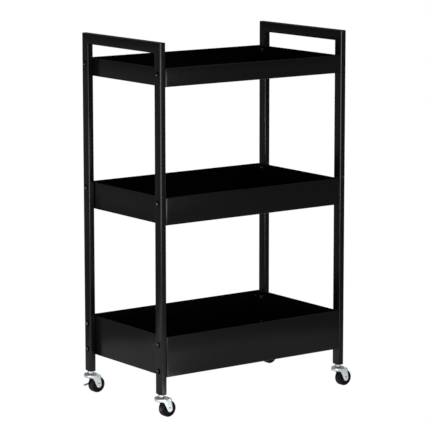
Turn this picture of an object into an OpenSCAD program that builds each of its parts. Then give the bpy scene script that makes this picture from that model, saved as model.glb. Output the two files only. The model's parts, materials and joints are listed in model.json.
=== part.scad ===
// Rolling cart: three sheet-steel trays between two rectangular-tube end frames, on four swivel casters.
// X runs along the cart's length, Y along its depth with the front at -Y, and Z up from the floor at 0.
// The origin is on the floor, under the middle of the cart's overall box.

/* [Overall size] */
// Length over the two end frames
cart_length = 510; // [420:10:640]
// Depth over the posts, front to back
cart_depth = 305; // [240:5:400]
// Height from the floor to the top of the handles
cart_height = 822; // [760:10:900]

/* [Frame tube] */
// Tube width along the cart's length
tube_x = 14; // [12:1:20]
// Tube width along the cart's depth, and the height of the handle bars
tube_y = 24; // [20:1:32]
// Thickness of the tube's wall
tube_wall = 1; // [0.8:0.1:1.5]
// Outer radius of the tube's edges
tube_edge_r = 2.5; // [1.5:0.5:4]
// Height of the joint between the upper frames and the lower legs
seam_z = 488.5; // [440:0.5:560]
// Width of the visible joint line
seam_gap = 0.4; // [0.2:0.1:1]

/* [Trays] */
// Thickness of the tray's sheet
sheet = 0.8; // [0.6:0.1:1.2]
// Outer radius of the tray's upright corners
tray_corner_r = 4; // [3.5:0.5:8]
// How far the front and back walls stand in from the posts' faces
tray_setback = 0.8; // [0:0.2:3]
// Height of the top tray's rim above the floor
top_rim_z = 766; // [700:1:790]
// Depth of the top tray
top_tray_h = 40; // [30:1:80]
// Height of the middle tray's rim
middle_rim_z = 486; // [380:1:520]
// Depth of the middle tray
middle_tray_h = 60; // [40:1:100]
// Height of the bottom tray's rim
bottom_rim_z = 180; // [150:1:240]
// Depth of the bottom tray
bottom_tray_h = 90; // [60:1:110]

/* [Screws] */
// Diameter of the tray screws
screw_d = 5; // [4:0.5:6]
// Diameter of their low domed heads
screw_head_d = 12; // [9:0.5:13]
// Height of the heads
screw_head_h = 2.8; // [2:0.2:4]
// Width of the nuts across their flats
nut_af = 8; // [7:0.5:10]
// Height of the nuts
nut_h = 4; // [3:0.5:5]

/* [Casters] */
// Height from the floor to the foot of the posts
caster_h = 51.5; // [50:0.5:60]
// Wheel diameter
wheel_d = 37; // [32:1:40]
// Width of the wheel's tread
wheel_w = 16; // [12:1:18]
// Distance from the swivel axis to the wheel's axle
trail = 15.5; // [12:0.5:18]
// Diameter of the swivel race
race_d = 30; // [26:1:32]
// Thickness of the fork's sheet
fork_sheet = 1.2; // [1:0.1:1.6]

/* [Hidden] */
$fn = 64;

coat = "#1d1d1f";
zinc = "#c9d3d8";
steel = "#8f959a";
plastic = "#161616";

// Corners of the cart: sign along X, sign along Y
FRONT_LEFT = [-1, -1];
FRONT_RIGHT = [1, -1];
REAR_LEFT = [-1, 1];
REAR_RIGHT = [1, 1];
CORNERS = [FRONT_LEFT, FRONT_RIGHT, REAR_LEFT, REAR_RIGHT];

post_dx = (cart_length - tube_x) / 2;
post_dy = (cart_depth - tube_y) / 2;

slip = 0.1;            // gap between parts that are only clamped together
hole_slip = 0.1;       // gap round a screw in its hole
run_slip = 0.05;       // running clearance of swivels, axles and levers
reach = 400;           // longer than any cut it makes

spigot_below = 42;     // how far a spigot goes down into its leg
spigot_above = 40;
spigot_wall = 1.5;
plug_flange = tube_edge_r;
plug_depth = 18;
insert_r = 5.3;
insert_h = 14;

tray_dx = post_dx - tube_x / 2 - slip;
tray_dy = cart_depth / 2 - tray_setback;
bend_r = 2.4;          // outer radius of the fold between a tray's wall and floor
hem_w = 2 * sheet + 0.4;
hem_h = 5;

// Screw heights: each tray hangs on its screws near the rim, and the deep one has a second row near its floor
top_screws_z = [top_rim_z - 12];
middle_screws_z = [middle_rim_z - 11.5];
bottom_screws_z = [bottom_rim_z - 17, bottom_rim_z - 76];
screw_tip = 1.5;       // what shows of a screw beyond its nut

stem_r = 4;
hex_af = 13;
king_r = 4;            // the pin under the stem that the fork turns on
race_t = 2.4;
crown_z = 42.6;        // top face of the fork's crown
crown_t = 2;
crown_gap = 0.3;       // daylight between crown and race
crown_r = 15.3;
crown_back = 4.3;      // how far the crown reaches behind the axle
skirt_h = 5.4;
race_z = crown_z + crown_gap;
ball_r = 1.4;
ball_ring_r = 10.4;
balls = 18;

fork_dy = 11.5;        // outer faces of the fork's legs
eye_r = 6.4;           // rounded end of a leg round the axle
axle_z = wheel_d / 2;
axle_r = 2.5;
axle_head_r = 4.2;
axle_head_h = 1.2;
hub_r = 6;
wheel_bore_r = axle_r + run_slip;

lever_t = 1.5;
lever_tail_x = -23;    // reach of the brake lever's tail from the axle
lever_tab = 5.5;       // width of the tail's tab, turned away from the wheel
lever_tab_h = 4.4;

// The frame's middle. The casters trail towards +X and the brake tabs stand out at the rear, so the overall
// box, whose middle is the origin, reaches further from the frame on those two sides.
axle_head_reach = fork_dy + axle_head_h;
lever_tab_reach = fork_dy + run_slip + lever_t + lever_tab;
frame_x = (cart_length / 2 + screw_head_h - (post_dx + trail + wheel_d / 2)) / 2;
frame_y = (axle_head_reach - lever_tab_reach) / 2;

// ---------- shapes that repeat ----------

module at_corner(corner) {
    translate([frame_x + corner.x * post_dx, frame_y + corner.y * post_dy, 0]) children();
}

module rounded_rect(w, d, r) {
    square([w - 2 * r, d], center = true);
    square([w, d - 2 * r], center = true);
    for (sx = [-1, 1], sy = [-1, 1])
        translate([sx * (w / 2 - r), sy * (d / 2 - r)]) circle(r);
}

// The tube's outline, shrunk on every side by inset
module tube_section(inset = 0) {
    rounded_rect(tube_x - 2 * inset, tube_y - 2 * inset, tube_edge_r - inset);
}

// Holes along X at each height in zs, through a post that stands on the origin
module cross_holes(zs, r = screw_d / 2 + hole_slip) {
    for (z = zs)
        translate([-tube_x, 0, z]) rotate([0, 90, 0]) cylinder(r = r, h = 2 * tube_x);
}

// Everything above the two 45 degree joints at the ends of the handle bar
module bar_zone() {
    over = 5;
    out_y = cart_depth / 2 + over;
    in_y = cart_depth / 2 - tube_y - over;
    rotate([90, 0, 90]) linear_extrude(4 * tube_x, center = true)
        polygon([
            [-out_y, cart_height + over], [out_y, cart_height + over],
            [in_y, cart_height - tube_y - over], [-in_y, cart_height - tube_y - over],
        ]);
}

// Solid inverted U, as two mitred posts and a mitred bar, shrunk on every side by inset
module frame_u(inset = 0) {
    foot_z = seam_z + seam_gap / 2 - (inset > 0 ? 1 : 0);
    for (end = [-1, 1])
        difference() {
            translate([0, end * post_dy, foot_z])
                linear_extrude(cart_height - foot_z) tube_section(inset);
            bar_zone();
        }
    intersection() {
        translate([0, cart_depth / 2, cart_height - tube_y / 2]) rotate([90, 0, 0])
            linear_extrude(cart_depth) tube_section(inset);
        bar_zone();
    }
}

// ---------- frame ----------

module upper_frame(side) {
    color(coat) translate([frame_x + side * post_dx, frame_y, 0])
        difference() {
            frame_u();
            frame_u(tube_wall);
            for (end = [-1, 1]) translate([0, end * post_dy, 0]) cross_holes(top_screws_z);
        }
}

module leg(corner) {
    foot_z = caster_h + plug_flange;
    color(coat) at_corner(corner)
        difference() {
            translate([0, 0, foot_z]) linear_extrude(seam_z - seam_gap / 2 - foot_z)
                difference() {
                    tube_section();
                    tube_section(tube_wall);
                }
            cross_holes(concat(bottom_screws_z, middle_screws_z));
        }
}

module post_spigots() {
    inset = tube_wall + slip;
    color(steel) for (corner = CORNERS) at_corner(corner)
        difference() {
            translate([0, 0, seam_z - spigot_below])
                linear_extrude(spigot_below + spigot_above)
                    difference() {
                        tube_section(inset);
                        square([tube_x - 2 * (inset + spigot_wall), tube_y - 2 * (inset + spigot_wall)],
                               center = true);
                    }
            cross_holes(middle_screws_z);
        }
}

// Rounded foot of a plug: a slab whose lower edges and corners all have the tube's own edge radius
module plug_foot() {
    r = tube_edge_r;
    dx = tube_x / 2 - r;
    dy = tube_y / 2 - r;
    intersection() {
        translate([-tube_x, -tube_y, 0]) cube([2 * tube_x, 2 * tube_y, r]);
        translate([0, 0, r]) {
            cube([2 * dx, 2 * dy, 2 * r], center = true);
            for (sx = [-1, 1]) translate([sx * dx, dy, 0]) rotate([90, 0, 0]) cylinder(r = r, h = 2 * dy);
            for (sy = [-1, 1]) translate([-dx, sy * dy, 0]) rotate([0, 90, 0]) cylinder(r = r, h = 2 * dx);
            for (sx = [-1, 1], sy = [-1, 1]) translate([sx * dx, sy * dy, 0]) sphere(r);
        }
    }
}

module post_plugs() {
    color(plastic) for (corner = CORNERS) at_corner(corner)
        translate([0, 0, caster_h])
            difference() {
                union() {
                    plug_foot();
                    translate([0, 0, plug_flange]) linear_extrude(plug_depth)
                        tube_section(tube_wall + slip);
                }
                translate([0, 0, -1]) cylinder(r = stem_r + slip, h = plug_flange + plug_depth + 2);
                translate([0, 0, plug_flange]) cylinder(r = insert_r, h = plug_depth + 1);
            }
}

module plug_inserts() {
    color(steel) for (corner = CORNERS) at_corner(corner)
        translate([0, 0, caster_h + plug_flange + slip])
            difference() {
                cylinder(r = insert_r - slip / 2, h = insert_h);
                translate([0, 0, -1]) cylinder(r = stem_r + run_slip, h = insert_h + 2);
            }
}

// ---------- trays ----------

// Section of a tray's side from the corner's centre outward: floor, fold, wall and hemmed rim
module tray_section(h) {
    wall_x = tray_corner_r - sheet;
    hem_x = tray_corner_r - hem_w;
    square([tray_corner_r - bend_r, sheet]);
    translate([tray_corner_r - bend_r, bend_r])
        intersection() {
            difference() {
                circle(bend_r);
                circle(bend_r - sheet);
            }
            translate([0, -bend_r]) square(bend_r);
        }
    translate([wall_x, bend_r]) square([sheet, h - bend_r - hem_w / 2]);
    translate([hem_x, h - hem_h]) square([hem_w, hem_h - hem_w / 2]);
    translate([tray_corner_r - hem_w / 2, h - hem_w / 2]) circle(hem_w / 2);
}

module tray_shell(h) {
    dx = tray_dx - tray_corner_r;
    dy = tray_dy - tray_corner_r;
    translate([-dx, -dy, 0]) cube([2 * dx, 2 * dy, sheet]);
    for (turn = [0, 180]) rotate(turn) {
        translate([dx, dy, 0]) rotate([90, 0, 0]) linear_extrude(2 * dy) tray_section(h);
        translate([dx, dy, 0]) rotate_extrude(angle = 90) tray_section(h);
        translate([-dx, dy, 0]) rotate([90, 0, 90]) linear_extrude(2 * dx) tray_section(h);
        translate([-dx, dy, 0]) rotate(90) rotate_extrude(angle = 90) tray_section(h);
    }
}

module tray(rim_z, h, screws_z) {
    color(coat) translate([frame_x, frame_y, 0])
        difference() {
            translate([0, 0, rim_z - h]) tray_shell(h);
            for (corner = CORNERS)
                translate([corner.x * post_dx, corner.y * post_dy, 0]) cross_holes(screws_z);
        }
}

// A screw from outside the post to inside the tray, along the X axis from the head's seat at the origin
module screw() {
    grip = tube_x + slip + sheet + nut_h + screw_tip;
    dome_r = (pow(screw_head_d / 2, 2) + pow(screw_head_h, 2)) / (2 * screw_head_h);
    rotate([0, 90, 0]) {
        cylinder(r = screw_d / 2, h = grip);
        difference() {
            intersection() {
                translate([0, 0, dome_r - screw_head_h]) sphere(dome_r, $fn = 96);
                translate([0, 0, -screw_head_h]) cylinder(r = screw_head_d / 2, h = screw_head_h);
            }
            translate([0, 0, -screw_head_h - 1]) cylinder(d = 4.6, h = 2.6, $fn = 6);
        }
    }
}

// Places children on every tray screw's axis, facing in from the outer side of its post
module at_screws(screws_z) {
    for (corner = CORNERS, z = screws_z)
        translate([frame_x + corner.x * cart_length / 2, frame_y + corner.y * post_dy, z])
            rotate(corner.x < 0 ? 0 : 180) children();
}

module tray_screws(screws_z) {
    color(plastic) at_screws(screws_z) screw();
}

module tray_nuts(screws_z) {
    color(zinc) at_screws(screws_z)
        translate([tube_x + slip + sheet, 0, 0]) rotate([0, 90, 0])
            difference() {
                cylinder(r = nut_af / 2 / cos(30), h = nut_h, $fn = 6);
                translate([0, 0, -1]) cylinder(r = screw_d / 2 + run_slip, h = nut_h + 2);
            }
}

// ---------- casters ----------

// Threaded stem with its hexagon, and below the race the headed pin that the fork turns on
module stem(corner) {
    hex_z = race_z + race_t;
    pin_foot_z = crown_z - crown_t - run_slip;
    pin_head_h = 1.6;
    color(zinc) at_corner(corner) {
        translate([0, 0, hex_z]) cylinder(r = stem_r, h = caster_h + plug_flange + insert_h - hex_z);
        translate([0, 0, hex_z]) rotate(24) cylinder(r = hex_af / 2 / cos(30), h = caster_h - hex_z, $fn = 6);
        translate([0, 0, pin_foot_z - pin_head_h]) cylinder(r = king_r, h = hex_z + 1 - pin_foot_z + pin_head_h);
        translate([0, 0, pin_foot_z - pin_head_h]) cylinder(r = king_r + 2, h = pin_head_h);
    }
}

// Torus that clears the ring of balls
module ball_track() {
    translate([0, 0, crown_z + crown_gap / 2]) rotate_extrude()
        translate([ball_ring_r, 0]) circle(ball_r + run_slip);
}

module race(corner) {
    edge = 0.7;
    color(steel) at_corner(corner)
        difference() {
            translate([0, 0, race_z]) rotate_extrude()
                difference() {
                    union() {
                        square([race_d / 2 - edge, race_t]);
                        translate([0, edge]) square([race_d / 2, race_t - 2 * edge]);
                        for (z = [edge, race_t - edge]) translate([race_d / 2 - edge, z]) circle(edge);
                    }
                    square([king_r, 3 * race_t], center = false);
                }
            ball_track();
        }
}

module caster_balls(corner) {
    color(steel) at_corner(corner)
        for (i = [0 : balls - 1]) rotate(360 / balls * i)
            translate([ball_ring_r, 0, crown_z + crown_gap / 2]) sphere(ball_r, $fn = 24);
}

// Outline of a leg seen along Y: from the skirt's lower edge a curve turns down into a straight leading edge,
// which meets the rounded eye
module leg_outline() {
    turn = 63.5;
    sweep_r = 12;
    skirt_z = crown_z - skirt_h;
    sweep_z = skirt_z - sweep_r;
    sweep_x = trail - (eye_r + sweep_r + cos(turn) * (sweep_z - axle_z)) / sin(turn);
    difference() {
        union() {
            translate([trail, axle_z]) circle(eye_r);
            polygon([
                [sweep_x, crown_z - crown_t], [trail + crown_back, crown_z - crown_t],
                [trail + eye_r, axle_z], [trail, axle_z],
                [trail - eye_r * sin(turn), axle_z - eye_r * cos(turn)],
                [sweep_x + sweep_r * sin(turn), sweep_z + sweep_r * cos(turn)], [sweep_x, skirt_z],
            ]);
        }
        translate([sweep_x, sweep_z]) circle(sweep_r);
    }
}

// Crown's outline from above: round over the race, squared off over the legs
module crown_outline(inset = 0) {
    back_x = trail + crown_back - inset;
    circle(crown_r - inset);
    translate([0, -(fork_dy - inset)]) square([back_x - 3, 2 * (fork_dy - inset)]);
    translate([0, -(fork_dy - 3 - inset)]) square([back_x, 2 * (fork_dy - 3 - inset)]);
    for (sy = [-1, 1]) translate([back_x - 3, sy * (fork_dy - 3 - inset)]) circle(3);
}

module fork(corner) {
    color(zinc) at_corner(corner)
        difference() {
            union() {
                translate([0, 0, crown_z - crown_t]) linear_extrude(crown_t) crown_outline();
                translate([0, 0, crown_z - skirt_h]) linear_extrude(skirt_h)
                    difference() {
                        crown_outline();
                        crown_outline(fork_sheet);
                        translate([trail, -reach / 2]) square(reach);
                    }
                for (sy = [-1, 1])
                    translate([0, sy * (fork_dy - fork_sheet / 2) + fork_sheet / 2, 0]) rotate([90, 0, 0])
                        linear_extrude(fork_sheet) leg_outline();
            }
            translate([0, 0, crown_z - 2 * crown_t]) cylinder(r = king_r + run_slip, h = 3 * crown_t);
            translate([trail, fork_dy + 1, axle_z]) rotate([90, 0, 0])
                cylinder(r = axle_r + 0.02, h = 2 * fork_dy + 2);
            ball_track();
        }
}

// Hollow-ended rivet that carries the wheel, and on a braked caster the lever too
module axle(corner) {
    front_y = -fork_dy;
    back_y = fork_dy + (corner.y > 0 ? lever_t + 2 * run_slip : 0);
    color(zinc) at_corner(corner)
        translate([trail, 0, axle_z]) rotate([-90, 0, 0])
            difference() {
                union() {
                    translate([0, 0, front_y]) cylinder(r = axle_r, h = back_y - front_y);
                    translate([0, 0, front_y - axle_head_h])
                        cylinder(r1 = axle_head_r - 0.6, r2 = axle_head_r, h = axle_head_h);
                    translate([0, 0, back_y])
                        cylinder(r1 = axle_head_r, r2 = axle_head_r - 0.6, h = axle_head_h);
                }
                translate([0, 0, front_y - axle_head_h - 1]) cylinder(r = 1.4, h = 3);
                translate([0, 0, back_y + axle_head_h - 2]) cylinder(r = 1.4, h = 3);
            }
}

// Moulded wheel: rounded tread, dished sides and a hub that fills the fork
module wheel(corner) {
    hub_dy = fork_dy - fork_sheet - 0.15;
    edge = 3;
    dish = 2.2;
    rim_r = wheel_d / 2 - 4.5;
    color(plastic) at_corner(corner)
        translate([trail, 0, axle_z]) rotate([90, 0, 0]) rotate_extrude()
            difference() {
                union() {
                    translate([0, -wheel_w / 2]) square([wheel_d / 2 - edge, wheel_w]);
                    translate([0, -(wheel_w / 2 - edge)]) square([wheel_d / 2, wheel_w - 2 * edge]);
                    for (s = [-1, 1])
                        translate([wheel_d / 2 - edge, s * (wheel_w / 2 - edge)]) circle(edge);
                    translate([0, -hub_dy]) square([hub_r, 2 * hub_dy]);
                }
                for (s = [-1, 1])
                    translate([hub_r, s * wheel_w / 2 - dish]) square([rim_r - hub_r, 2 * dish]);
                translate([0, -reach / 2]) square([wheel_bore_r, reach]);
            }
}

// Stamped lever on the outside of the rear fork leg, turning on the axle, with a foot tab at its tail
module brake_lever(corner) {
    lever_y = fork_dy + run_slip;
    tab_z = -2.2;
    tab_r = 1.6;
    color(zinc) at_corner(corner)
        translate([trail, lever_y + lever_t, axle_z])
            difference() {
                union() {
                    rotate([90, 0, 0]) linear_extrude(lever_t) {
                        circle(5.6);
                        polygon([
                            [0, -5.4], [0, 5.4], [-9, 3], [-16, 1.6], [lever_tail_x + 2.6, 0.9], [lever_tail_x, -0.3],
                            [lever_tail_x, -4], [lever_tail_x + 2.2, -3], [-16, -1.6], [-9, -2.2],
                        ]);
                    }
                    translate([lever_tail_x, (lever_tab - lever_t) / 2, tab_z]) rotate([90, 0, 90])
                        linear_extrude(lever_t) rounded_rect(lever_tab + lever_t, lever_tab_h, tab_r);
                }
                rotate([90, 0, 0]) translate([0, 0, -1]) cylinder(r = axle_r + run_slip, h = lever_t + 2);
            }
}

upper_frame(-1);  // upper_frame_left
upper_frame(1);  // upper_frame_right
leg(FRONT_LEFT);  // leg_front_left
leg(FRONT_RIGHT);  // leg_front_right
leg(REAR_LEFT);  // leg_rear_left
leg(REAR_RIGHT);  // leg_rear_right
post_spigots();
post_plugs();
plug_inserts();
tray(top_rim_z, top_tray_h, top_screws_z);  // top_tray
tray(middle_rim_z, middle_tray_h, middle_screws_z);  // middle_tray
tray(bottom_rim_z, bottom_tray_h, bottom_screws_z);  // bottom_tray
tray_screws(top_screws_z);  // top_tray_screws
tray_screws(middle_screws_z);  // middle_tray_screws
tray_screws(bottom_screws_z);  // bottom_tray_screws
tray_nuts(top_screws_z);  // top_tray_nuts
tray_nuts(middle_screws_z);  // middle_tray_nuts
tray_nuts(bottom_screws_z);  // bottom_tray_nuts
stem(FRONT_LEFT);  // stem_front_left
stem(FRONT_RIGHT);  // stem_front_right
stem(REAR_LEFT);  // stem_rear_left
stem(REAR_RIGHT);  // stem_rear_right
race(FRONT_LEFT);  // race_front_left
race(FRONT_RIGHT);  // race_front_right
race(REAR_LEFT);  // race_rear_left
race(REAR_RIGHT);  // race_rear_right
caster_balls(FRONT_LEFT);  // balls_front_left
caster_balls(FRONT_RIGHT);  // balls_front_right
caster_balls(REAR_LEFT);  // balls_rear_left
caster_balls(REAR_RIGHT);  // balls_rear_right
fork(FRONT_LEFT);  // fork_front_left
fork(FRONT_RIGHT);  // fork_front_right
fork(REAR_LEFT);  // fork_rear_left
fork(REAR_RIGHT);  // fork_rear_right
axle(FRONT_LEFT);  // axle_front_left
axle(FRONT_RIGHT);  // axle_front_right
axle(REAR_LEFT);  // axle_rear_left
axle(REAR_RIGHT);  // axle_rear_right
wheel(FRONT_LEFT);  // wheel_front_left
wheel(FRONT_RIGHT);  // wheel_front_right
wheel(REAR_LEFT);  // wheel_rear_left
wheel(REAR_RIGHT);  // wheel_rear_right
brake_lever(REAR_LEFT);  // brake_lever_rear_left
brake_lever(REAR_RIGHT);  // brake_lever_rear_right
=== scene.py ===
"""Looks for the rolling tray cart: materials, refined pieces over the CAD, floor, lights and camera."""
import json
import math

import bmesh
import bpy
from mathutils import Matrix, Quaternion, Vector

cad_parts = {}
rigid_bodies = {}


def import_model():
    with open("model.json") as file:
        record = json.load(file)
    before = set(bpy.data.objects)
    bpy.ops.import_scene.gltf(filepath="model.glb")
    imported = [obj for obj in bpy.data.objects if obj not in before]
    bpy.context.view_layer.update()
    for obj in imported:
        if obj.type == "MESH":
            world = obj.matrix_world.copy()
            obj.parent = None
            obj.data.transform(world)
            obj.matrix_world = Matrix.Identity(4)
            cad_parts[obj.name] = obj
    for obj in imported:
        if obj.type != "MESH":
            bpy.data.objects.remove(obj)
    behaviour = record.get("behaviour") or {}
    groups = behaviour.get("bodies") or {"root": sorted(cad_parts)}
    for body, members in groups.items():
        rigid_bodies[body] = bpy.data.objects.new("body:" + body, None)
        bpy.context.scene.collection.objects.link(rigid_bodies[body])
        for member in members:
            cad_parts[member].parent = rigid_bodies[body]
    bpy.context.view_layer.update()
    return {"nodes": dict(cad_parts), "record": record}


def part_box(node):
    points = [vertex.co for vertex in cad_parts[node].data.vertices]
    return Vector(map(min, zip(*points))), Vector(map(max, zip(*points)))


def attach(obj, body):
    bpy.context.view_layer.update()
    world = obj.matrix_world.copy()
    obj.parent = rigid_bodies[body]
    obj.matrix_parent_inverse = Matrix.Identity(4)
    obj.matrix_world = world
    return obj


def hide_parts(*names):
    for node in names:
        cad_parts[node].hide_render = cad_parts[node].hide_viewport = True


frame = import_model()
NODES = frame["nodes"]
SLOT_OF = {s["node"]: s["material_slot"] for s in frame["record"]["subparts"]}
BODY_OF = {n: body for body, nodes in frame["record"]["behaviour"]["bodies"].items() for n in nodes}
SIDES = ("left", "right")
CORNERS = ("front_left", "front_right", "rear_left", "rear_right")
TRAYS = ("top_tray", "middle_tray", "bottom_tray")
MM = 0.001


# ---------- shader helpers ----------

def new_material(name):
    mat = bpy.data.materials.new(name)
    mat.use_nodes = True
    tree = mat.node_tree
    tree.nodes.clear()
    out = tree.nodes.new("ShaderNodeOutputMaterial")
    shader = tree.nodes.new("ShaderNodeBsdfPrincipled")
    tree.links.new(shader.outputs["BSDF"], out.inputs["Surface"])
    return mat, tree, shader


def add(tree, kind, **settings):
    """A shader node, with settings for its inputs or else for its properties."""
    node = tree.nodes.new(kind)
    for key, value in settings.items():
        if key in node.inputs:
            node.inputs[key].default_value = value
        else:
            setattr(node, key, value)
    return node


def object_noise(tree, scale, detail=2.0, roughness=0.5):
    """Noise in object space, so that its grain keeps its real size: scale is in lumps a metre."""
    coords = tree.nodes.new("ShaderNodeTexCoord")
    noise = add(tree, "ShaderNodeTexNoise", Scale=scale, Detail=detail, Roughness=roughness)
    tree.links.new(coords.outputs["Object"], noise.inputs["Vector"])
    return noise.outputs["Fac"]


def ramp(tree, factor, low, high, start=0.0, end=1.0):
    """Maps factor from start..end to low..high."""
    node = tree.nodes.new("ShaderNodeMapRange")
    for key, value in (("From Min", start), ("From Max", end), ("To Min", low), ("To Max", high)):
        node.inputs[key].default_value = value
    tree.links.new(factor, node.inputs["Value"])
    return node.outputs["Result"]


def tint(tree, factor, dark, light):
    mix = tree.nodes.new("ShaderNodeMix")
    mix.data_type = "RGBA"
    mix.inputs["A"].default_value = (*dark, 1.0)
    mix.inputs["B"].default_value = (*light, 1.0)
    tree.links.new(factor, mix.inputs["Factor"])
    return mix.outputs["Result"]


def bump(tree, height, distance, strength):
    node = add(tree, "ShaderNodeBump", Strength=strength, Distance=distance)
    tree.links.new(height, node.inputs["Height"])
    return node.outputs["Normal"]


# ---------- materials ----------

def black_coat():
    """Satin powder coat: near black, with a fine orange-peel surface."""
    mat, tree, shader = new_material("black_coat")
    peel = object_noise(tree, 900.0, detail=3.0)
    cloud = object_noise(tree, 14.0)
    color = tint(tree, cloud, (0.0048, 0.0048, 0.0060), (0.0066, 0.0066, 0.0082))
    tree.links.new(color, shader.inputs["Base Color"])
    tree.links.new(ramp(tree, peel, 0.17, 0.25), shader.inputs["Roughness"])
    tree.links.new(bump(tree, peel, 0.04 * MM, 0.12), shader.inputs["Normal"])
    shader.inputs["Specular IOR Level"].default_value = 0.5
    return mat


def black_screw():
    """Black oxide, with painted shade round the head: its reflection fades out as the head's surface turns
    away from X, so the flanks go dull and black, while the face, which looks along X, keeps a low gloss.
    """
    mat, tree, shader = new_material("black_screw")
    grain = object_noise(tree, 1600.0)
    color = tint(tree, grain, (0.0004, 0.0004, 0.0004), (0.0016, 0.0016, 0.0018))
    tree.links.new(color, shader.inputs["Base Color"])
    facing = tree.nodes.new("ShaderNodeTexCoord")
    axes = tree.nodes.new("ShaderNodeSeparateXYZ")
    tree.links.new(facing.outputs["Normal"], axes.inputs["Vector"])
    along = add(tree, "ShaderNodeMath", operation="ABSOLUTE")
    tree.links.new(axes.outputs["X"], along.inputs[0])
    face = along.outputs["Value"]
    # Painted shade: reflection and gloss are kept to the part of the head that faces along X, which darkens
    # the rest of the head to a black ring
    shaded_flank_end, glossy_face_start = 0.93, 0.975
    tree.links.new(ramp(tree, face, 0.0, 0.65, shaded_flank_end, glossy_face_start), shader.inputs["Specular IOR Level"])
    tree.links.new(ramp(tree, face, 0.60, 0.26, shaded_flank_end, glossy_face_start), shader.inputs["Roughness"])
    return mat


def black_plastic():
    mat, tree, shader = new_material("black_plastic")
    grain = object_noise(tree, 2200.0)
    color = tint(tree, grain, (0.012, 0.012, 0.013), (0.02, 0.02, 0.021))
    tree.links.new(color, shader.inputs["Base Color"])
    tree.links.new(ramp(tree, grain, 0.45, 0.6), shader.inputs["Roughness"])
    tree.links.new(bump(tree, grain, 0.05 * MM, 0.4), shader.inputs["Normal"])
    return mat


def wheel_plastic():
    mat, tree, shader = new_material("wheel_plastic")
    scuff = object_noise(tree, 260.0, detail=6.0, roughness=0.7)
    color = tint(tree, scuff, (0.002, 0.002, 0.002), (0.006, 0.006, 0.006))
    tree.links.new(color, shader.inputs["Base Color"])
    tree.links.new(ramp(tree, scuff, 0.38, 0.52), shader.inputs["Roughness"])
    shader.inputs["Specular IOR Level"].default_value = 0.28
    tree.links.new(bump(tree, scuff, 0.04 * MM, 0.5), shader.inputs["Normal"])
    return mat


def zinc_plate():
    mat, tree, shader = new_material("zinc_plate")
    spangle = object_noise(tree, 160.0)
    color = tint(tree, spangle, (0.70, 0.76, 0.80), (0.78, 0.83, 0.86))
    tree.links.new(color, shader.inputs["Base Color"])
    shader.inputs["Metallic"].default_value = 1.0
    tree.links.new(ramp(tree, spangle, 0.24, 0.32), shader.inputs["Roughness"])
    return mat


def plain_steel():
    mat, tree, shader = new_material("plain_steel")
    grain = object_noise(tree, 600.0, detail=5.0)
    color = tint(tree, grain, (0.46, 0.46, 0.46), (0.58, 0.58, 0.58))
    tree.links.new(color, shader.inputs["Base Color"])
    shader.inputs["Metallic"].default_value = 1.0
    tree.links.new(ramp(tree, grain, 0.42, 0.55), shader.inputs["Roughness"])
    return mat


def ball_steel():
    mat, tree, shader = new_material("ball_steel")
    haze = object_noise(tree, 900.0)
    tree.links.new(ramp(tree, haze, 0.06, 0.14), shader.inputs["Roughness"])
    shader.inputs["Base Color"].default_value = (0.66, 0.67, 0.69, 1.0)
    shader.inputs["Metallic"].default_value = 1.0
    return mat


MATERIALS = {
    "black_coat": black_coat(),
    "black_screw": black_screw(),
    "black_plastic": black_plastic(),
    "wheel_plastic": wheel_plastic(),
    "zinc_plate": zinc_plate(),
    "plain_steel": plain_steel(),
    "ball_steel": ball_steel(),
}


def paint_frame():
    """Gives the CAD's own meshes their materials, for the pieces that nothing replaces."""
    for name, node in NODES.items():
        node.data.materials.clear()
        node.data.materials.append(MATERIALS[SLOT_OF[name]])


# ---------- outlines and rings ----------

SMALLEST_RADIUS = 0.02 * MM
SMALL_ROUND = 72           # points round screws, nuts and stems, their hexagons included
RIVET_ROUND = 48
WHEEL_ROUND = 96           # also for the races


def rounded_rect(w, d, r, steps=6):
    """Points of a rounded rectangle about the origin, the same number whatever its size."""
    r = max(r, SMALLEST_RADIUS)
    points = []
    for quarter, (sx, sy) in enumerate(((1, 1), (-1, 1), (-1, -1), (1, -1))):
        for k in range(steps + 1):
            a = math.pi / 2 * (quarter + k / steps)
            points.append((sx * (w / 2 - r) + r * math.cos(a), sy * (d / 2 - r) + r * math.sin(a)))
    return points


def circle(r, steps):
    angles = [2 * math.pi * k / steps for k in range(steps)]
    return [(r * math.cos(a), r * math.sin(a)) for a in angles]


def hexagon(across, turn=0.0):
    """Points of a hexagon at equal angles, so that rings of it join onto rings of circle()."""
    points = []
    for k in range(SMALL_ROUND):
        a = 2 * math.pi * k / SMALL_ROUND
        off = (a - turn) % (math.pi / 3) - math.pi / 6
        r = across / 2 / math.cos(off)
        points.append((r * math.cos(a), r * math.sin(a)))
    return points


def arc(cx, cz, r, start, end, steps):
    """(radius, height) pairs along an arc, angles in degrees."""
    points = []
    for k in range(steps + 1):
        a = math.radians(start + (end - start) * k / steps)
        points.append((cx + r * math.cos(a), cz + r * math.sin(a)))
    return points


def flat_ring(outline, z):
    return [Vector((x, y, z)) for x, y in outline]


def lathe_rings(profile, steps):
    """Rings about Z from (radius, height) pairs."""
    return [flat_ring(circle(r, steps), z) for r, z in profile]


def moved(rings, matrix):
    return [[matrix @ p for p in ring] for ring in rings]


def along_x(point, outward):
    """Turns a shape that stands on Z so that its +Z points along X, outward being -1 or 1."""
    return Matrix.Translation(point) @ Matrix.Rotation(outward * math.pi / 2, 4, "Y")


def along_y(point):
    """Turns a shape that stands on Z so that its +Z points along Y."""
    return Matrix.Translation(point) @ Matrix.Rotation(-math.pi / 2, 4, "X")


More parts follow.
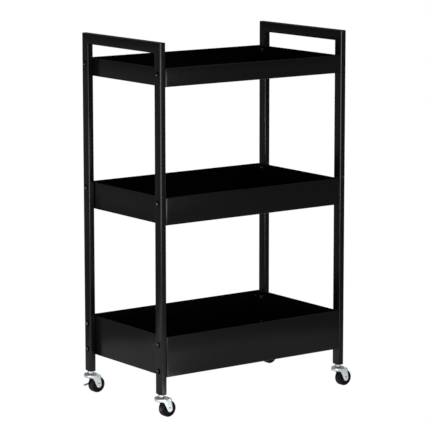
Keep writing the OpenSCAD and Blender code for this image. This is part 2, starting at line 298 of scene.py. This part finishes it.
def skin(bm, rings, wrap=False):
    """Quads between neighbouring rings of points, with caps or with the last ring joined to the first."""
    made = [[bm.verts.new(p) for p in ring] for ring in rings]
    pairs = list(zip(made, made[1:])) + ([(made[-1], made[0])] if wrap else [])
    for a, b in pairs:
        for k in range(len(a)):
            m = (k + 1) % len(a)
            bm.faces.new((a[k], a[m], b[m], b[k]))
    if not wrap:
        bm.faces.new(list(reversed(made[0])))
        bm.faces.new(made[-1])


# ---------- pieces and boxes ----------

WELD = 0.001 * MM                    # points closer than this are one point
SHARP_ANGLE = math.radians(32)       # edges that turn more than this are shaded sharp


def finish_piece(bm, name, node):
    """Turns bm into a piece that stands for a CAD node and takes its body and material slot."""
    bmesh.ops.remove_doubles(bm, verts=bm.verts, dist=WELD)
    bmesh.ops.recalc_face_normals(bm, faces=bm.faces)
    mesh = bpy.data.meshes.new(name)
    bm.to_mesh(mesh)
    bm.free()
    mesh.shade_smooth()
    mesh.set_sharp_from_angle(angle=SHARP_ANGLE)
    piece = bpy.data.objects.new(name, mesh)
    bpy.context.scene.collection.objects.link(piece)
    slot = SLOT_OF[node]
    mesh.materials.append(MATERIALS[slot])
    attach(piece, BODY_OF[node])
    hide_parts(node)


def solids_of(name):
    """Boxes of the separate solids in a CAD node, as (lowest corner, highest corner)."""
    bm = bmesh.new()
    bm.from_mesh(NODES[name].data)
    bmesh.ops.remove_doubles(bm, verts=bm.verts, dist=WELD)
    seen, boxes = set(), []
    for start in bm.verts:
        if start in seen:
            continue
        seen.add(start)
        island, todo = [], [start]
        while todo:
            vert = todo.pop()
            island.append(vert.co)
            for edge in vert.link_edges:
                other = edge.other_vert(vert)
                if other not in seen:
                    seen.add(other)
                    todo.append(other)
        low = Vector([min(co[i] for co in island) for i in range(3)])
        high = Vector([max(co[i] for co in island) for i in range(3)])
        boxes.append((low, high))
    bm.free()
    return boxes


def middle(box):
    return (box[0] + box[1]) / 2


FRAME_MIDDLE = (middle(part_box("upper_frame_left")) + middle(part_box("upper_frame_right"))) / 2


# ---------- tubes ----------

TUBE_EDGE = 2.5 * MM       # radius of the tube's long edges
BREAK = 0.3 * MM           # how far cut ends are broken
SEAM = 0.5 * BREAK         # how far each mitred end stands back from the cut, which leaves a fine groove


def level(z):
    """Height of a square end."""
    return lambda x, y: z


def section_rings(w, d, ends):
    """Rings of a tube's section, from (inset, height as a function of the point) pairs."""
    rings = []
    for inset, height in ends:
        points = rounded_rect(w - 2 * inset, d - 2 * inset, TUBE_EDGE - inset)
        rings.append([Vector((x, y, height(x, y))) for x, y in points])
    return rings


def build_upper_frame(side):
    """Two posts and a handle bar, cut at 45 degrees and welded, with the cut just showing."""
    name = f"upper_frame_{side}"
    low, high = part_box(name)
    center = middle((low, high))
    width = high.x - low.x
    leg_low, leg_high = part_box(f"leg_front_{side}")
    depth = leg_high.y - leg_low.y
    bm = bmesh.new()
    for end in (-1, 1):
        def post_end(back, end=end):
            # The cut rises towards the outside of the frame
            return lambda x, y: high.z - (depth / 2 - end * y) - back

        rings = section_rings(width, depth, (
            (BREAK, level(low.z)), (0, level(low.z + BREAK)),
            (0, post_end(SEAM + BREAK)), (BREAK, post_end(SEAM)),
        ))
        post_y = center.y + end * (high.y - low.y - depth) / 2
        skin(bm, moved(rings, Matrix.Translation((center.x, post_y, 0))))
    span = (high.y - low.y) / 2

    def bar_end(sign, back):
        # The bar's section stands on X and Z: its second coordinate is the height above the bar's middle
        return lambda x, y: sign * (span - (depth / 2 - y) - back)

    rings = section_rings(width, depth, (
        (BREAK, bar_end(-1, SEAM)), (0, bar_end(-1, SEAM + BREAK)),
        (0, bar_end(1, SEAM + BREAK)), (BREAK, bar_end(1, SEAM)),
    ))
    bar_z = high.z - depth / 2
    skin(bm, [[Vector((center.x + p.x, center.y + p.z, bar_z + p.y)) for p in ring] for ring in rings])
    finish_piece(bm, f"{name}_tubes", name)


def build_leg(corner):
    """One straight tube with square ends."""
    name = f"leg_{corner}"
    low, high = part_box(name)
    center = middle((low, high))
    rings = section_rings(high.x - low.x, high.y - low.y, (
        (BREAK, level(low.z)), (0, level(low.z + BREAK)), (0, level(high.z - BREAK)), (BREAK, level(high.z)),
    ))
    bm = bmesh.new()
    skin(bm, moved(rings, Matrix.Translation((center.x, center.y, 0))))
    finish_piece(bm, f"{name}_tube", name)


# ---------- trays ----------

SHEET = 0.8 * MM
TRAY_CORNER = 4.0 * MM     # radius of the tray's upright corners
FOLD = 2.4 * MM            # outer radius of the fold between wall and floor
HEM = 2.0 * MM             # thickness of the folded rim
HEM_DROP = 5.0 * MM        # how far the rim's folded edge comes down inside
HEM_EDGE = 0.25 * MM       # how far that edge is broken
HEM_SLIT = 0.6 * MM        # how high the slit between wall and folded edge goes


def build_tray(name):
    """One folded sheet: floor, fold, wall, and the rim turned inwards and down."""
    low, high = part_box(name)
    center = middle((low, high))
    rim = high.z
    turned = rim - HEM_DROP
    profile = arc(FOLD, low.z + FOLD, FOLD, 270, 180, steps=6)
    profile += arc(HEM / 2, rim - HEM / 2, HEM / 2, 180, 0, steps=10)
    profile += [(HEM, turned + HEM_EDGE), (HEM - HEM_EDGE, turned), (HEM - SHEET, turned),
                (HEM - SHEET, turned + HEM_SLIT), (SHEET, turned + HEM_SLIT)]
    profile += arc(FOLD, low.z + FOLD, FOLD - SHEET, 180, 270, steps=5)
    rings = []
    for inset, z in profile:
        length = high.x - low.x - 2 * inset
        depth = high.y - low.y - 2 * inset
        outline = rounded_rect(length, depth, TRAY_CORNER - inset, steps=8)
        rings.append([Vector((center.x + x, center.y + y, z)) for x, y in outline])
    bm = bmesh.new()
    skin(bm, rings)
    finish_piece(bm, f"{name}_sheet", name)


# ---------- screws and nuts ----------

SHANK_R = 2.5 * MM
SCREW_TIP = 0.4 * MM       # height of the cone at a screw's tip
THREAD_H = 7 * MM          # how much of a screw's end is cut with visible thread
THREAD_DEPTH = 0.35 * MM
PITCH = 0.8 * MM
SCREW_HEAD_H = 2.8 * MM
SCREW_RIM = 1.1 * MM       # height of the upright rim under the head's dome
SOCKET = 3.9 * MM          # across the flats of the socket in the head
SOCKET_R = 2.6 * MM        # where the dome ends and the rim of the socket starts
SOCKET_EDGE = 0.1 * MM
SOCKET_DEPTH = 1.5 * MM
NUT_PLAY = 0.05 * MM       # between a nut and its screw
CHAMFER_START = 0.95       # where a hexagon's chamfer starts, from 0 in its middle to 1 at its flats
CHAMFER_SLOPE = math.tan(math.radians(30))


def chamfered_hexagon(across, turn, low_z, high_z):
    """Outer rings of a nut or bolt head, whose corners are turned off on both faces."""
    flat_r = CHAMFER_START * across / 2
    outline = hexagon(across, turn)
    face = circle(flat_r, SMALL_ROUND)
    drops = [CHAMFER_SLOPE * (math.hypot(x, y) - flat_r) for x, y in outline]
    return [
        flat_ring(face, low_z),
        [Vector((x, y, low_z + d)) for (x, y), d in zip(outline, drops)],
        [Vector((x, y, high_z - d)) for (x, y), d in zip(outline, drops)],
        flat_ring(face, high_z),
    ]


def screw_rings(length, head_r):
    """A screw that stands on Z, its head on top and the seat of the head at 0."""
    tip = -(length - SCREW_HEAD_H)
    relief, edge = 0.1 * MM, 0.2 * MM
    profile = [(SHANK_R - relief - SCREW_TIP, tip), (SHANK_R - relief, tip + SCREW_TIP)]
    for k in range(int(THREAD_H / PITCH)):
        z = tip + SCREW_TIP + relief + k * PITCH
        profile += [(SHANK_R - THREAD_DEPTH, z), (SHANK_R, z + 0.4 * PITCH), (SHANK_R, z + 0.5 * PITCH)]
    profile += [(SHANK_R, -relief), (SHANK_R, 0), (head_r - edge, 0), (head_r, edge), (head_r, SCREW_RIM)]
    dome_h = SCREW_HEAD_H - SCREW_RIM
    dome_r = (head_r ** 2 + dome_h ** 2) / (2 * dome_h)
    steps = 8
    for k in range(1, steps + 1):
        r = head_r + (SOCKET_R - head_r) * k / steps
        profile.append((r, SCREW_HEAD_H - dome_r + math.sqrt(dome_r ** 2 - r ** 2)))
    top = profile[-1][1]
    socket = [flat_ring(hexagon(SOCKET), z) for z in (top, top - SOCKET_EDGE, top - SOCKET_DEPTH)]
    return lathe_rings(profile, SMALL_ROUND) + socket


def build_screws(name):
    """A row's screws, each with its head on the cart's outside."""
    bm = bmesh.new()
    for box in solids_of(name):
        low, high = box
        outward = 1 if middle(box).x > FRAME_MIDDLE.x else -1
        seat_x = (high.x if outward > 0 else low.x) - outward * SCREW_HEAD_H
        place = Vector((seat_x, middle(box).y, middle(box).z))
        rings = screw_rings(high.x - low.x, (high.y - low.y) / 2)
        skin(bm, moved(rings, along_x(place, outward)))
    finish_piece(bm, f"{name}_set", name)


def build_nuts(name):
    """A row's nuts, with plain bores."""
    bm = bmesh.new()
    bore_r = SHANK_R + NUT_PLAY
    for box in solids_of(name):
        low, high = box
        half = (high.x - low.x) / 2
        across = min(high.y - low.y, high.z - low.z)
        first, last = lathe_rings([(bore_r, -half), (bore_r, half)], SMALL_ROUND)
        rings = [first] + chamfered_hexagon(across, 0.0, -half, half) + [last]
        skin(bm, moved(rings, along_x(middle(box), 1)), wrap=True)
    finish_piece(bm, f"{name}_set", name)


# ---------- casters ----------

HEX_TURN = math.radians(24)
HEX_ACROSS = 13.0 * MM
STEM_R = 4.0 * MM
STEM_PITCH = 1.0 * MM
STEM_THREAD = 0.4 * MM     # depth of the stem's thread
PIN_HEAD_R = 6.0 * MM
PIN_HEAD_H = 1.6 * MM


def build_stem(corner):
    """Swivel pin, hexagon and threaded stem in one."""
    name = f"stem_{corner}"
    low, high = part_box(name)
    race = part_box(f"race_{corner}")
    seat = race[1].z
    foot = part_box("post_plugs")[0].z
    head_top = low.z + PIN_HEAD_H
    edge, bevel_r, bevel_h, crease = 0.4 * MM, 0.2 * MM, 0.3 * MM, 0.05 * MM
    pin = [(PIN_HEAD_R - edge, low.z), (PIN_HEAD_R, low.z + edge), (PIN_HEAD_R, head_top - bevel_h),
           (PIN_HEAD_R - bevel_r, head_top), (STEM_R, head_top), (STEM_R, seat - crease), (STEM_R, seat)]
    thread = [(STEM_R, foot)]
    while thread[-1][1] < high.z - 2 * STEM_PITCH:
        z = thread[-1][1]
        thread += [(STEM_R - STEM_THREAD, z + STEM_PITCH / 2), (STEM_R, z + STEM_PITCH)]
    thread += [(STEM_R, high.z - edge), (STEM_R - edge, high.z)]
    rings = lathe_rings(pin, SMALL_ROUND)
    rings += chamfered_hexagon(HEX_ACROSS, HEX_TURN, seat, foot)
    rings += lathe_rings(thread, SMALL_ROUND)
    center = middle(race)
    bm = bmesh.new()
    skin(bm, moved(rings, Matrix.Translation((center.x, center.y, 0))))
    finish_piece(bm, f"{name}_turned", name)


def build_race(corner):
    """Pressed washer with a beaded rim, a shallow channel on top and the ball track below."""
    name = f"race_{corner}"
    low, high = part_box(name)
    rim = (high.x - low.x) / 2
    bead = (high.z - low.z) / 2
    ball_ring_r, track_r, track_drop, track_edge = 10.4 * MM, 1.45 * MM, 0.15 * MM, 8.96 * MM
    channel, collar_r, land, slope = high.z - 0.45 * MM, 8.0 * MM, 0.5 * MM, 0.6 * MM
    profile = [(STEM_R, high.z), (STEM_R, low.z), (track_edge, low.z)]
    profile += arc(ball_ring_r, low.z - track_drop, track_r, 174, 6, steps=8)
    profile += [(rim - bead, low.z)]
    profile += arc(rim - bead, low.z + bead, bead, -75, 90, steps=8)
    profile += [(rim - bead - land, high.z), (rim - bead - land - slope, channel),
                (collar_r + slope, channel), (collar_r, high.z)]
    center = middle((low, high))
    bm = bmesh.new()
    rings = lathe_rings(profile, WHEEL_ROUND)
    skin(bm, moved(rings, Matrix.Translation((center.x, center.y, 0))), wrap=True)
    finish_piece(bm, f"{name}_pressed", name)


def both_sides(half):
    """A whole profile from one half of it."""
    return half + [(r, -z) for r, z in reversed(half)]


def build_rivet(corner):
    """Rivet with rolled heads, each with a dimple in its middle."""
    name = f"axle_{corner}"
    low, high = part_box(name)
    half = (high.y - low.y) / 2
    head_r = (high.x - low.x) / 2
    shank_r, head_h, dimple_r, edge = 2.5 * MM, 1.2 * MM, 1.4 * MM, 0.1 * MM
    # (radius, depth below the head's face), from the dimple's middle out and back in to the shank
    head = ((0.3 * MM, 0.9 * MM), (0.9 * MM, 0.8 * MM), (dimple_r, 0.2 * MM), (dimple_r + 0.4 * MM, 0),
            (head_r - 1.2 * MM, 0.1 * MM), (head_r - 0.5 * MM, 0.4 * MM), (head_r - edge, 0.8 * MM),
            (head_r, head_h - edge), (head_r - edge, head_h), (shank_r, head_h))
    profile = both_sides([(r, depth - half) for r, depth in head])
    bm = bmesh.new()
    skin(bm, moved(lathe_rings(profile, RIVET_ROUND), along_y(middle((low, high)))))
    finish_piece(bm, f"{name}_rivet", name)


def build_wheel(corner):
    """Moulded wheel: tread with a fine parting line, dished sides with a raised rim, and a hub."""
    name = f"wheel_{corner}"
    low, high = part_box(name)
    rim = (high.x - low.x) / 2
    hub_half = (high.y - low.y) / 2
    half, shoulder = 8.0 * MM, 3.0 * MM
    bore_r, hub_r, dish_r = 2.55 * MM, 6.0 * MM, rim - 4.5 * MM
    bore_edge, edge, parting_h = 0.3 * MM, 0.4 * MM, 0.12 * MM
    dish_z = half - 2.2 * MM
    # From the bore out to the parting line
    side = [(bore_r, hub_half - bore_edge), (bore_r + bore_edge, hub_half),
            (hub_r - edge, hub_half), (hub_r, hub_half - edge),
            (hub_r + 0.1 * MM, dish_z + edge), (hub_r + 0.6 * MM, dish_z),
            (dish_r - 1.0 * MM, dish_z), (dish_r - 0.3 * MM, dish_z + edge),
            (dish_r, half - 0.3 * MM), (dish_r + 0.35 * MM, half)]
    side += arc(rim - shoulder, half - shoulder, shoulder, 90, 8, steps=9)
    side += [(rim - parting_h / 3, half - shoulder - 0.6 * MM), (rim - parting_h, 0.35 * MM)]
    side += [(rim, 0.15 * MM)]
    rings = lathe_rings(both_sides(side), WHEEL_ROUND)
    bm = bmesh.new()
    skin(bm, moved(rings, along_y(middle((low, high)))), wrap=True)
    finish_piece(bm, f"{name}_moulded", name)


PRESSING_WELD = 0.002 * MM
PRESSING_EDGE = 0.3 * MM             # how far the edges of stamped parts are rounded
FLAT_ANGLE = math.radians(0.5)       # CAD facets that turn less than this are one face
FOLD_ANGLE = math.radians(35)        # edges that turn more than this are rounded


def build_pressing(name):
    """A stamped part: the CAD shape with every sheared or folded edge rounded."""
    bm = bmesh.new()
    bm.from_mesh(NODES[name].data)
    bmesh.ops.remove_doubles(bm, verts=bm.verts, dist=PRESSING_WELD)
    bmesh.ops.dissolve_limit(bm, angle_limit=FLAT_ANGLE, verts=bm.verts, edges=bm.edges)
    edges = [e for e in bm.edges if len(e.link_faces) == 2 and e.calc_face_angle(0) > FOLD_ANGLE]
    bmesh.ops.bevel(bm, geom=edges, offset=PRESSING_EDGE, offset_type="OFFSET", segments=3, profile=0.5,
                    affect="EDGES", clamp_overlap=True)
    finish_piece(bm, f"{name}_pressed", name)


def build_pieces():
    for side in SIDES:
        build_upper_frame(side)
    for tray in TRAYS:
        build_tray(tray)
        build_screws(f"{tray}_screws")
        build_nuts(f"{tray}_nuts")
    for corner in CORNERS:
        build_leg(corner)
        build_stem(corner)
        build_race(corner)
        build_rivet(corner)
        build_wheel(corner)
        build_pressing(f"fork_{corner}")
    for side in SIDES:
        build_pressing(f"brake_lever_rear_{side}")


# ---------- floor and backdrop ----------

# The camera sees the floor and the backdrop at a strength of 1. The cart gets these instead:
FLOOR_GLOW = 0.09
WALL_GLOW = 0.05
CEILING_GLOW = 0.22
WALL_TOP = 0.20            # sine of the elevation up to which the backdrop is wall
CEILING_START = 0.60       # and of the elevation from which it is ceiling
FLOOR_HALF = 40.0
FLOOR_TONE = 0.02
WHITE = (1.0, 1.0, 1.0, 1.0)


def build_floor():
    """Floor, white to the camera and dim to the cart. Soft boxes that lie on it are its bright patches."""
    corners = [(sx * FLOOR_HALF, sy * FLOOR_HALF, 0) for sx, sy in ((-1, -1), (1, -1), (1, 1), (-1, 1))]
    mesh = bpy.data.meshes.new("floor")
    mesh.from_pydata(corners, [], [(0, 1, 2, 3)])
    floor = bpy.data.objects.new("floor", mesh)
    bpy.context.scene.collection.objects.link(floor)
    mat, tree, shader = new_material("white_floor")
    shader.inputs["Base Color"].default_value = (FLOOR_TONE, FLOOR_TONE, FLOOR_TONE, 1.0)
    shader.inputs["Roughness"].default_value = 1.0
    shader.inputs["Specular IOR Level"].default_value = 0.0
    path = tree.nodes.new("ShaderNodeLightPath")
    glow = ramp(tree, path.outputs["Is Camera Ray"], FLOOR_GLOW, 1.0)
    tree.links.new(glow, shader.inputs["Emission Strength"])
    shader.inputs["Emission Color"].default_value = WHITE
    mesh.materials.append(mat)


def build_world():
    """White to the camera, dim to the cart, so that the soft boxes shape it."""
    world = bpy.data.worlds.new("studio")
    bpy.context.scene.world = world
    world.use_nodes = True
    tree = world.node_tree
    tree.nodes.clear()
    out = tree.nodes.new("ShaderNodeOutputWorld")
    seen = add(tree, "ShaderNodeBackground", Color=WHITE, Strength=1.0)
    lit = add(tree, "ShaderNodeBackground", Color=WHITE)
    direction = tree.nodes.new("ShaderNodeTexCoord")
    height = tree.nodes.new("ShaderNodeSeparateXYZ")
    tree.links.new(direction.outputs["Generated"], height.inputs["Vector"])
    glow = ramp(tree, height.outputs["Z"], WALL_GLOW, CEILING_GLOW, WALL_TOP, CEILING_START)
    tree.links.new(glow, lit.inputs["Strength"])
    path = tree.nodes.new("ShaderNodeLightPath")
    mix = tree.nodes.new("ShaderNodeMixShader")
    tree.links.new(path.outputs["Is Camera Ray"], mix.inputs["Fac"])
    tree.links.new(lit.outputs["Background"], mix.inputs[1])
    tree.links.new(seen.outputs["Background"], mix.inputs[2])
    tree.links.new(mix.outputs["Shader"], out.inputs["Surface"])


# ---------- lights ----------

CARD_DISTANCE = 4.0


def area_light(name, place, size, radiance, only):
    """Area light that the camera doesn't see. Its power follows from its size and its radiance."""
    light = bpy.data.lights.new(name, "AREA")
    light.shape = "RECTANGLE"
    light.size, light.size_y = size
    light.energy = radiance * math.pi * size[0] * size[1]
    obj = bpy.data.objects.new(name, light)
    bpy.context.scene.collection.objects.link(obj)
    obj.location = place
    obj.visible_camera = False
    if only is not None:
        obj.light_linking.receiver_collection = only
    return obj


def soft_box(name, place, target, size, radiance, only=None):
    """Soft box at a place, facing a target, for all pieces or for one collection only."""
    box = area_light(name, place, size, radiance, only)
    box.rotation_mode = "QUATERNION"
    box.rotation_quaternion = (Vector(target) - Vector(place)).to_track_quat("-Z", "Y")


def around(angle, distance, height):
    """A point at a distance from the cart, its angle in degrees from straight in front towards the left."""
    a = math.radians(angle)
    return Vector((-math.sin(a) * distance, -math.cos(a) * distance, height))


def floor_box(name, angles, distances, radiance, only=None):
    """Soft box that lies on the floor, facing up, between two angles and two distances."""
    angle = sum(angles) / 2
    distance = sum(distances) / 2
    size = (math.radians(angles[1] - angles[0]) * distance, distances[1] - distances[0])
    box = area_light(name, around(angle, distance, MM), size, radiance, only)
    box.rotation_euler = (math.pi, 0, math.radians(-angle))


def card(name, angles, heights, radiance, only=None):
    """Soft box that stands further off and faces the cart, between two angles and two heights."""
    angle = sum(angles) / 2
    middle_z = sum(heights) / 2
    size = (math.radians(angles[1] - angles[0]) * CARD_DISTANCE, heights[1] - heights[0])
    soft_box(name, around(angle, CARD_DISTANCE, middle_z), (0, 0, middle_z), size, radiance, only)


def gathered(name, *words):
    """A collection of the pieces with one of these words in their names, for lights that are kept to them."""
    pieces = bpy.data.collections.new(name)
    for obj in bpy.data.objects:
        if obj.type == "MESH" and any(word in obj.name for word in words):
            pieces.objects.link(obj)
    return pieces


def build_linked_lights():
    """Soft boxes for a few pieces each, such as the white that the bright metal mirrors."""
    metal = gathered("bright_metal", "stem_", "race_", "fork_", "axle_", "balls_", "inserts")
    floor_box("metal_floor_front", (-55, 60), (0.0, 1.6), 0.36, only=metal)
    floor_box("metal_floor_left", (60, 170), (0.05, 1.6), 0.36, only=metal)
    card("metal_back", (180, 250), (0.2, 2.2), 0.60, only=metal)
    card("metal_right", (-160, -70), (0.0, 1.5), 0.35, only=metal)
    races = gathered("races", "race_")
    soft_box("race_glow", (0, 0, 80 * MM), (0, 0, 0), (0.50, 0.28), 0.50, only=races)
    wheels = gathered("wheels", "wheel_")
    floor_box("wheel_left", (75, 105), (0.27, 0.60), 2.5, only=wheels)
    screws = gathered("screws", "screws")
    floor_box("screw_glint", (100, 160), (0.50, 6.00), 1.8, only=screws)
    nuts = gathered("nuts", "nuts")
    soft_box("nut_glint", (-1.2, -1.6, 2.4), (0, 0, 0.4), (2.0, 2.0), 1.5, only=nuts)


def build_lights():
    """Soft boxes by angle from the front and by distance in metres, each with its radiance."""
    soft_box("floor_under", (0, 0, MM), (0, 0, 1), (0.60, 0.45), 0.32)
    # Front: dim near the cart, with one bright pool far off
    floor_box("front_near", (-60, 20), (0.32, 0.90), 0.15)
    floor_box("front_middle", (-36, -5), (0.60, 1.50), 0.06)
    floor_box("front_pool_near", (0, 20), (0.60, 2.40), 0.35)
    floor_box("front_pool_far", (0, 20), (2.40, 4.00), 2.0)
    card("front_card", (-20, 0), (0.0, 0.7), 2.6)
    # Between front and left, where only the rounded edges look: the bright line down every upright edge
    floor_box("edge_near", (20, 40), (0.32, 0.60), 2.5)
    floor_box("edge_pool", (20, 80), (2.40, 4.00), 4.0)
    card("edge_card", (20, 80), (0.0, 0.7), 4.0)
    # Left
    floor_box("left_near", (100, 140), (0.32, 0.90), 0.25)
    floor_box("left_pool_near", (100, 120), (0.90, 2.40), 0.8)
    card("left_card", (80, 100), (0.0, 0.7), 1.6)
    floor_box("left_far", (125, 165), (2.40, 8.00), 0.06)
    floor_box("left_front_middle", (25, 75), (0.35, 2.40), 0.30)
    # Back and right: enough to show the shapes from there too
    floor_box("back_near", (165, 260), (0.32, 1.00), 0.3)
    floor_box("back_middle", (200, 255), (1.00, 3.00), 0.4)
    floor_box("right_near", (260, 300), (0.32, 0.90), 0.15)
    floor_box("right_pool", (240, 290), (2.40, 4.00), 1.3)
    build_linked_lights()


# ---------- camera ----------

CAMERA_AZIMUTH = math.radians(-36.19)          # from straight in front, below 0 towards the cart's left
CAMERA_ELEVATION = math.radians(9.54)
CAMERA_TILT = math.radians(-0.05)              # about the line of sight
CAMERA_DISTANCE = 5.489                        # from the point it looks at
CAMERA_AIM = Vector((0.4 * MM, -0.2 * MM, 405.1 * MM))   # that point, from under the frame's middle
CAMERA_LENS = 202.8                            # focal length in mm
CAMERA_SENSOR = 36.0                           # width in mm
CAMERA_REACH = 50.0                            # how far it sees


def build_camera():
    """Long lens from the front left, looking a little down on the cart."""
    aim = Vector((FRAME_MIDDLE.x, FRAME_MIDDLE.y, 0)) + CAMERA_AIM
    back = Vector((math.sin(CAMERA_AZIMUTH) * math.cos(CAMERA_ELEVATION),
                   -math.cos(CAMERA_AZIMUTH) * math.cos(CAMERA_ELEVATION), math.sin(CAMERA_ELEVATION)))
    data = bpy.data.cameras.new("camera")
    data.lens = CAMERA_LENS
    data.sensor_width = CAMERA_SENSOR
    data.clip_end = CAMERA_REACH
    camera = bpy.data.objects.new("camera", data)
    bpy.context.scene.collection.objects.link(camera)
    camera.location = aim + back * CAMERA_DISTANCE
    camera.rotation_mode = "QUATERNION"
    camera.rotation_quaternion = (-back).to_track_quat("-Z", "Y") @ Quaternion((0, 0, 1), CAMERA_TILT)
    bpy.context.scene.camera = camera


paint_frame()
build_pieces()
build_floor()
build_world()
build_lights()
build_camera()
bpy.context.scene.view_settings.view_transform = "Standard"
